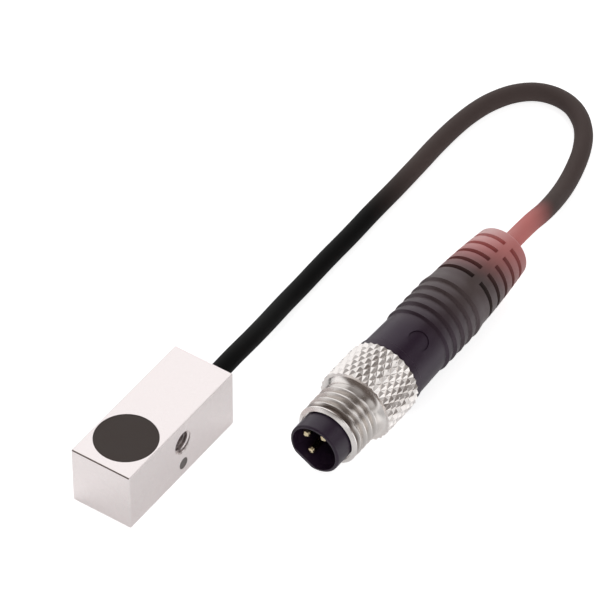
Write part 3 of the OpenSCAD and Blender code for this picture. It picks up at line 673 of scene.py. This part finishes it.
class SENSOR_OT_light_stage(bpy.types.Operator):
    """Set up the pale floor, the soft lamps and the white surroundings"""

    bl_idname = "sensor.light_stage"
    bl_label = "Light stage"

    def execute(self, context):
        clear_selection()
        bpy.ops.mesh.primitive_plane_add(size=3, location=FLOOR_PLACE)
        floor = context.object
        floor.name = "floor"
        floor.data.materials.append(self.white_paper())
        lamp("Back softbox", (0.35, 0.24, 0.42), 0.6, 1.2)
        lamp("Low back softbox", (0.38, 0.47, 0.17), 0.45, 0.7)
        lamp("Front fill", (-0.28, -0.38, 0.45), 0.8, 1.7)
        context.scene.world = self.white_room()
        context.scene.view_settings.view_transform = "Standard"
        return {"FINISHED"}

    def white_paper(self):
        """Paper that the camera sees white. What shines sees it brighter before the block's end and beside
        the screw ring, and darker in front of the ring's shoulder."""
        paper = bpy.data.materials.new("White paper")
        paper.use_nodes = True
        tree = paper.node_tree
        shader = tree.nodes["Principled BSDF"]
        shader.inputs["Base Color"].default_value = (0.9, 0.9, 0.9, 1)
        shader.inputs["Roughness"].default_value = 0.9
        shader.inputs["Specular IOR Level"].default_value = 0.1
        shader.inputs["Emission Color"].default_value = (1, 1, 1, 1)
        ray = tree.nodes.new("ShaderNodeLightPath")
        ray.location = (-600, 0)
        where = tree.nodes.new("ShaderNodeTexCoord")
        where.location = (-1400, -500)
        along = tree.nodes.new("ShaderNodeSeparateXYZ")
        along.location = (-1200, -500)
        tree.links.new(where.outputs["Object"], along.inputs[0])

        def from_to(axis, start, full, y):
            """Soft step across the paper between two places of the object's frame, in millimetres."""
            shift = FLOOR_PLACE["XY".index(axis)]
            return step_mask(tree, along.outputs[axis], start * MM - shift, full * MM - shift, -1000, y)

        end_side = from_to("X", *END_STRETCH, -200)
        end_glow = math_node(tree, "MULTIPLY", end_side, END_GAIN, -800, -200)
        plug_side = math_node(
            tree, "MULTIPLY", from_to("Y", *SIDE_STRETCH, -400), from_to("X", *REAR_STRETCH, -600), -800, -400
        )
        ring_glow = spread(tree, from_to("X", *RING_STRETCH, -800), *RING_GAINS, -800, -800)
        ring_glow = math_node(tree, "MULTIPLY", plug_side, ring_glow, -600, -600)
        reflected = math_node(tree, "ADD", end_glow, ring_glow, -400, -400)
        reflected = math_node(tree, "MULTIPLY", reflected, ray.outputs["Is Glossy Ray"], -400, -200)
        glow = spread(tree, ray.outputs["Is Camera Ray"], *PAPER_LEVELS, -400, 0)
        glow = math_node(tree, "ADD", glow, reflected, -200, -200)
        tree.links.new(glow, shader.inputs["Emission Strength"])
        return paper

    def white_room(self):
        """White surroundings. What metal and gloss see of them is dim on the camera's side."""
        world = bpy.data.worlds.new("White room")
        world.use_nodes = True
        tree = world.node_tree
        sky = tree.nodes["Background"]
        ray = tree.nodes.new("ShaderNodeLightPath")
        ray.location = (-900, 300)
        place = tree.nodes.new("ShaderNodeTexCoord")
        place.location = (-1300, 0)
        parts = tree.nodes.new("ShaderNodeSeparateXYZ")
        parts.location = (-1100, 0)
        tree.links.new(place.outputs["Generated"], parts.inputs[0])
        away = tree.nodes.new("ShaderNodeVectorMath")
        away.operation = "DOT_PRODUCT"
        away.location = (-1100, -200)
        away.inputs[1].default_value = BACKDROP_SIDE
        tree.links.new(place.outputs["Generated"], away.inputs[0])
        backdrop = step_mask(tree, away.outputs["Value"], *BACKDROP_EDGES, -900, -200)
        ceiling = step_mask(tree, parts.outputs["Z"], *CEILING_EDGES, -900, 0)
        ceiling = math_node(tree, "MULTIPLY", ceiling, CEILING_LEVEL, -800, 100)
        table = step_mask(tree, parts.outputs["Z"], *TABLE_EDGES, -900, -400)
        lit = math_node(tree, "MAXIMUM", backdrop, ceiling, -700, -100)
        lit = math_node(tree, "MAXIMUM", lit, table, -550, -200)
        for i, (where, edges, level) in enumerate(PANELS):
            y = -600 - 200 * i
            panel = tree.nodes.new("ShaderNodeVectorMath")
            panel.operation = "DOT_PRODUCT"
            panel.location = (-1100, y)
            panel.inputs[1].default_value = where
            tree.links.new(place.outputs["Generated"], panel.inputs[0])
            side = step_mask(tree, panel.outputs["Value"], *edges, -900, y)
            side = math_node(tree, "MULTIPLY", side, level, -700, y)
            lit = math_node(tree, "MAXIMUM", lit, side, -550, y)
        unlit = math_node(tree, "SUBTRACT", 1.0, lit, -400, -200)
        dim = math_node(tree, "MULTIPLY", unlit, ray.outputs["Is Glossy Ray"], -400, 0)
        tint = mix_colour(tree, dim, (1, 1, 1, 1), DIM_SIDE, -200, 0)
        tree.links.new(tint, sky.inputs["Color"])
        seen = ray.outputs["Is Camera Ray"]
        for x, kind in ((-600, "Is Transmission Ray"), (-400, "Is Glossy Ray")):
            seen = math_node(tree, "MAXIMUM", seen, ray.outputs[kind], x, 300)
        strength = spread(tree, seen, *ROOM_LEVELS, -200, 300)
        tree.links.new(strength, sky.inputs["Strength"])
        return world


def lamp(name, place, size, power):
    """Square soft lamp that points at the middle of the object. What shines sees the room instead."""
    bpy.ops.object.light_add(type="AREA", location=place)
    light = bpy.context.object
    light.name = name
    light.visible_glossy = False
    light.data.shape = "SQUARE"
    light.data.size = size
    light.data.energy = power
    light.rotation_mode = "QUATERNION"
    light.rotation_quaternion = (Vector(place) - Vector(OBJECT_MIDDLE)).to_track_quat("Z", "Y")


# Block


class SENSOR_OT_tap_block(bpy.types.Operator):
    """Copy the block and cut the screw thread into its cross hole"""

    bl_idname = "sensor.tap_block"
    bl_label = "Tap block"

    def execute(self, context):
        s = sizes("block_sizes")
        block = merged_copy("nickel_block", "housing")
        turns = round(BLOCK_WIDTH / s.screw_pitch) + 2
        groove = screw_ridge(
            "groove", HOLE, start=-turns * s.screw_pitch / 2, pitch=s.screw_pitch, turns=turns, steps=32,
            base=s.hole_radius - 0.1 * MM, crest=s.screw_radius, foot=0.27 * MM, flat=0.03 * MM,
        )
        pick(groove)
        bpy.ops.transform.rotate(
            value=math.pi / 2, orient_axis="Z", orient_type="GLOBAL", center_override=HOLE
        )
        settle(groove)
        cut(block, groove)
        colours = sizes("sensor_colours")
        nickel = finish(
            "Satin nickel", tuple(colours.block), 0.27, metal=1.0, cloud=0.025, cloud_scale=260.0,
            grain_scale=9000.0, spread_by=0.10, bump=0.12, bump_size=0.00001,
        )[0]
        smooth(block, 20)
        dress(block, nickel, SENSOR, ["housing"])
        return {"FINISHED"}


class SENSOR_OT_finish_block(bpy.types.Operator):
    """Give the sensing face, the light window and the bush their finishes"""

    bl_idname = "sensor.finish_block"
    bl_label = "Finish block"

    def execute(self, context):
        colours = sizes("sensor_colours")
        looks = {
            "sensing_cap": finish("Sensing face plastic", tuple(colours.face), 0.55, cloud=0.05,
                                  cloud_scale=500.0, grain_scale=12000.0, bump=0.2, specular=0.35)[0],
            "light_window": finish("Milky window", tuple(colours.window), 0.35, cloud=0.25, cloud_scale=900.0,
                                   bump=0.05, coat=0.3)[0],
            "cord_bush": finish("Bush plastic", tuple(colours.nose), 0.5, cloud=0.08)[0],
        }
        for node, material in looks.items():
            paint(node, material)
        return {"FINISHED"}


def paint(node, material):
    """Puts a material on a node of the frame."""
    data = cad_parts[node].data
    data.materials.clear()
    data.materials.append(material)


class SENSOR_OT_finish_inside(bpy.types.Operator):
    """Give the coil, the board, the wires and the resin their finishes"""

    bl_idname = "sensor.finish_inside"
    bl_label = "Finish inner parts"

    def execute(self, context):
        looks = {
            ("ferrite_core",): finish("Ferrite", (0.035, 0.035, 0.038), 0.6, cloud=0.15)[0],
            ("coil_bobbin",): finish("Former plastic", (0.75, 0.70, 0.58), 0.45)[0],
            ("coil_winding", "coil_lead_in", "coil_lead_out"): finish(
                "Enamelled copper", (0.72, 0.33, 0.16), 0.3, metal=1.0, stretch=(1, 1, 12), coat=0.4)[0],
            ("circuit_board",): finish("Solder resist", (0.02, 0.12, 0.05), 0.35, cloud=0.2, coat=0.3)[0],
            ("oscillator_chip", "output_transistor", "protection_diode", "gain_resistor"): finish(
                "Chip plastic", (0.02, 0.02, 0.022), 0.6, grain_scale=16000.0)[0],
            ("filter_capacitor", "supply_capacitor"): finish("Ceramic", (0.38, 0.25, 0.13), 0.4)[0],
            ("status_led",): finish("Diode resin", (0.75, 0.68, 0.40), 0.25, coat=0.3)[0],
            ("potting_compound",): finish("Casting resin", (0.05, 0.045, 0.055), 0.4, cloud=0.15)[0],
            ("inner_premould",): finish("Hard moulding", (0.68, 0.65, 0.52), 0.45)[0],
            ("sensor_wire_brown", "plug_wire_brown"): finish("Brown wire", (0.13, 0.045, 0.018), 0.4)[0],
            ("sensor_wire_blue", "plug_wire_blue"): finish("Blue wire", (0.015, 0.05, 0.3), 0.4)[0],
            ("sensor_wire_black", "plug_wire_black"): finish("Black wire", (0.012, 0.012, 0.012), 0.4)[0],
        }
        for nodes, material in looks.items():
            for node in nodes:
                paint(node, material)
        return {"FINISHED"}


# Plug


class SENSOR_OT_cut_ring(bpy.types.Operator):
    """Turn the screw ring, knurl it and cut its thread"""

    bl_idname = "sensor.cut_ring"
    bl_label = "Cut screw ring"

    def execute(self, context):
        s = sizes("plug_sizes")
        root, crest, valley = s.thread_root, s.thread_crest, s.knurl_root
        columns = 2 * s.knurl_count
        start, step = KNURL_FROM * MM, (KNURL_TO - KNURL_FROM) * MM / KNURL_STEPS
        outline = in_metres(RIM) + [(ROOT_END * MM, root)] + in_metres(RUN_OUT)
        outline += hollow_curve(*in_metres(SHOULDER), SHOULDER_STEPS, SHOULDER_LEAN)
        outline += [(start + step * j, valley) for j in range(KNURL_STEPS + 1)]
        outline += [(BORE[0][0] * MM, valley - 0.1 * MM)] + in_metres(BORE)
        ring = turned("knurled_screw_ring", outline, columns)
        self.knurl(ring, start, step, columns)
        ridge = screw_ridge(
            "ridge", NOSE, start=1.6 * MM, pitch=s.thread_pitch, turns=7, steps=columns,
            base=root - 0.1 * MM, crest=crest, foot=0.44 * MM, flat=0.06 * MM,
        )
        crest_line = [(CREST_FROM * MM, crest), (CREST_TO * MM, crest)]
        envelope = turned(
            "envelope", in_metres(TRIM_START) + crest_line + in_metres(TRIM_END), 2 * columns
        )
        cut(ridge, envelope, "INTERSECT")
        cut(ring, ridge, "UNION")
        smooth(ring, 28)
        colours = sizes("sensor_colours")
        nickel, tree, shader, grain, place = finish(
            "Bright nickel", tuple(colours.ring), 0.24, metal=1.0, cloud=0.05, cloud_scale=500.0,
            grain_scale=6000.0, spread_by=0.12, bump=0.1, bump_size=0.00001,
        )
        # Painted shade in the thread's grooves and in the groove behind the rim
        self.paint_groove_shade(tree, shader, grain, place)
        dress(ring, nickel, RING, ["coupling_ring"])
        return {"FINISHED"}

    def paint_groove_shade(self, tree, shader, grain, place):
        """Paints shade on the plating: darker towards the root of the thread, and darkest in the groove
        behind the rim.
        """
        colours = sizes("sensor_colours")
        across = tree.nodes.new("ShaderNodeVectorMath")
        across.operation = "MULTIPLY"
        across.location = (-900, 500)
        across.inputs[1].default_value = (0, 1, 1)
        tree.links.new(place.outputs["Object"], across.inputs[0])
        deep = group_node(
            tree, near_group, -700, 500, Point=(0, NOSE.y, NOSE.z), Full_within=SHADE_FULL * MM,
            None_beyond=SHADE_FROM * MM,
        )
        tree.links.new(across.outputs["Vector"], deep.inputs["Vector"])
        parts = tree.nodes.new("ShaderNodeSeparateXYZ")
        parts.location = (-900, 300)
        tree.links.new(place.outputs["Object"], parts.inputs[0])
        stations = [NOSE.x + way * MM for way in (RIM_BACK, GROOVE_START, GROOVE_END, GROOVE_FULL)]
        behind = step_mask(tree, parts.outputs["X"], *stations[:2], -700, 300)
        mask = math_node(tree, "MULTIPLY", deep.outputs["Mask"], behind, -500, 400)
        # Painted shade: darker nickel towards the thread's roots, darkest in the groove behind the rim
        painted_shade = mix_colour(tree, mask, grain.outputs["Colour"], (*colours.thread, 1), -350, 400)
        groove = step_mask(tree, parts.outputs["X"], *stations[2:], -700, 100)
        groove = math_node(tree, "MULTIPLY", groove, mask, -350, 200)
        painted_shade = mix_colour(tree, groove, painted_shade, (*colours.groove, 1), -200, 400)
        tree.links.new(painted_shade, shader.inputs["Base Color"])

    def knurl(self, ring, start, step, columns):
        """Joins the low points across each face, then pulls the points between them out to the knurl."""
        s = sizes("plug_sizes")
        low, points, edge_points = [], [], []
        for vertex in ring.data.vertices:
            d = vertex.co - NOSE
            j = (d.x - start) / step
            if abs(math.hypot(d.y, d.z) - s.knurl_root) > 1e-6 or not -0.01 < j < KNURL_STEPS + 0.01:
                continue
            i = round(math.atan2(d.z, d.y) / (2 * math.pi) * columns)
            j = round(j)
            if (i + j) % 2 == 0:
                low.append(vertex.index)
            elif j in (0, KNURL_STEPS):
                edge_points.append(vertex.index)
            else:
                points.append(vertex.index)
        select_points(ring, low)
        bpy.ops.mesh.vert_connect()
        edge_peak = s.knurl_peak - KNURL_EDGE_DROP * MM
        for chosen, radius in ((edge_points, edge_peak), (points, s.knurl_peak)):
            select_points(ring, chosen)
            scale = radius / s.knurl_root
            bpy.ops.transform.resize(value=(1, scale, scale), center_override=NOSE)
        bpy.ops.mesh.bevel(offset=s.knurl_flat, offset_type="OFFSET", segments=1, affect="VERTICES")
        bpy.ops.object.mode_set(mode="OBJECT")


class SENSOR_OT_step_ribs(bpy.types.Operator):
    """Copy the grip and give its ribs steep fronts and lean backs"""

    bl_idname = "sensor.step_ribs"
    bl_label = "Step ribs"

    def execute(self, context):
        grip = merged_copy("ribbed_grip", "grip_overmould")
        for rib in range(RIB_COUNT):
            front = RIBS_START + rib * RIB_PITCH
            end = LAST_RIB_END if rib == RIB_COUNT - 1 else RIB_END
            for way, old, new in RIB_CIRCLES + end:
                self.resize_circle(grip, (front + way) * MM, old * MM, new * MM)
        smooth(grip, 30)
        return {"FINISHED"}

    def resize_circle(self, grip, station, old, new):
        """Scales one circle of the grip's outline about the plug's axis."""
        circle = []
        for vertex in grip.data.vertices:
            d = vertex.co - NOSE
            if abs(d.x - station) < 0.01 * MM and abs(math.hypot(d.y, d.z) - old) < 0.005 * MM:
                circle.append(vertex.index)
        if not circle:
            raise RuntimeError(f"The grip has no circle at {station:.5f} m")
        select_points(grip, circle)
        scale = new / old
        bpy.ops.transform.resize(value=(1, scale, scale), center_override=NOSE)
        bpy.ops.object.mode_set(mode="OBJECT")


class SENSOR_OT_finish_plug(bpy.types.Operator):
    """Give the grip, the nose and the pins their finishes"""

    bl_idname = "sensor.finish_plug"
    bl_label = "Finish plug"

    def execute(self, context):
        colours = sizes("sensor_colours")
        grip, tree, shader, grain, place = finish(
            "Grip plastic", tuple(colours.plastic), 0.36, cloud=0.10, cloud_scale=700.0, grain_scale=9000.0,
            bump=0.25, bump_size=0.00002, specular=0.45,
        )
        shader.inputs["Specular Tint"].default_value = (1, 0.86, 1, 1)
        # Brownish tint over the grip's rear, and painted reddish light with painted pale light at its rear
        # end
        add_tint_and_painted_light(tree, shader, grain, place, RED_LIGHT_PLACE, 0.024, 0.0122)
        dress(bpy.data.objects["ribbed_grip"], grip, SENSOR, ["grip_overmould"])
        nose = finish(
            "Nose plastic", tuple(colours.nose), 0.38, cloud=0.08, cloud_scale=700.0, bump=0.1, specular=0.42
        )[0]
        paint("plug_shell", nose)
        insert = finish("Insert plastic", tuple(colours.insert), 0.6, cloud=0.08, specular=0.2)[0]
        paint("contact_carrier", insert)
        gold = finish("Gold plating", tuple(colours.gold), 0.16, metal=1.0, cloud=0.06)[0]
        for pin in ("contact_pin_1", "contact_pin_3", "contact_pin_4"):
            paint(pin, gold)
        return {"FINISHED"}


# Panel and registration


STEPS = (
    SENSOR_OT_aim_camera,
    SENSOR_OT_lay_cord,
    SENSOR_OT_tap_block,
    SENSOR_OT_finish_block,
    SENSOR_OT_finish_inside,
    SENSOR_OT_cut_ring,
    SENSOR_OT_step_ribs,
    SENSOR_OT_finish_plug,
    SENSOR_OT_join_lead,
    SENSOR_OT_light_stage,
)
GROUPS_OF_VALUES = {
    "plug_sizes": PlugSizes, "block_sizes": BlockSizes, "cord_sizes": CordSizes, "sensor_colours": Colours,
}


class SENSOR_PT_panel(bpy.types.Panel):
    """Sizes, colours and steps of the sensor"""

    bl_label = "Proximity sensor"
    bl_idname = "SENSOR_PT_panel"
    bl_space_type = "VIEW_3D"
    bl_region_type = "UI"
    bl_category = "Sensor"

    def draw(self, context):
        for name, kind in GROUPS_OF_VALUES.items():
            box = self.layout.box()
            for value in kind.__annotations__:
                box.prop(getattr(context.scene, name), value)
        for step in STEPS:
            self.layout.operator(step.bl_idname)


def register():
    """Makes the classes and their values known to Blender."""
    for kind in (*GROUPS_OF_VALUES.values(), *STEPS, SENSOR_PT_panel):
        bpy.utils.register_class(kind)
    for name, kind in GROUPS_OF_VALUES.items():
        setattr(bpy.types.Scene, name, PointerProperty(type=kind))


def unregister():
    """Takes the values and the classes away again."""
    for name in GROUPS_OF_VALUES:
        delattr(bpy.types.Scene, name)
    for kind in reversed((*GROUPS_OF_VALUES.values(), *STEPS, SENSOR_PT_panel)):
        bpy.utils.unregister_class(kind)


def main():
    """Models and finishes every piece."""
    register()
    bpy.ops.sensor.aim_camera()
    bpy.ops.sensor.lay_cord()
    bpy.ops.sensor.tap_block()
    bpy.ops.sensor.finish_block()
    bpy.ops.sensor.finish_inside()
    bpy.ops.sensor.cut_ring()
    bpy.ops.sensor.step_ribs()
    bpy.ops.sensor.finish_plug()
    bpy.ops.sensor.join_lead()
    bpy.ops.sensor.light_stage()


if __name__ == "__main__":
    main()
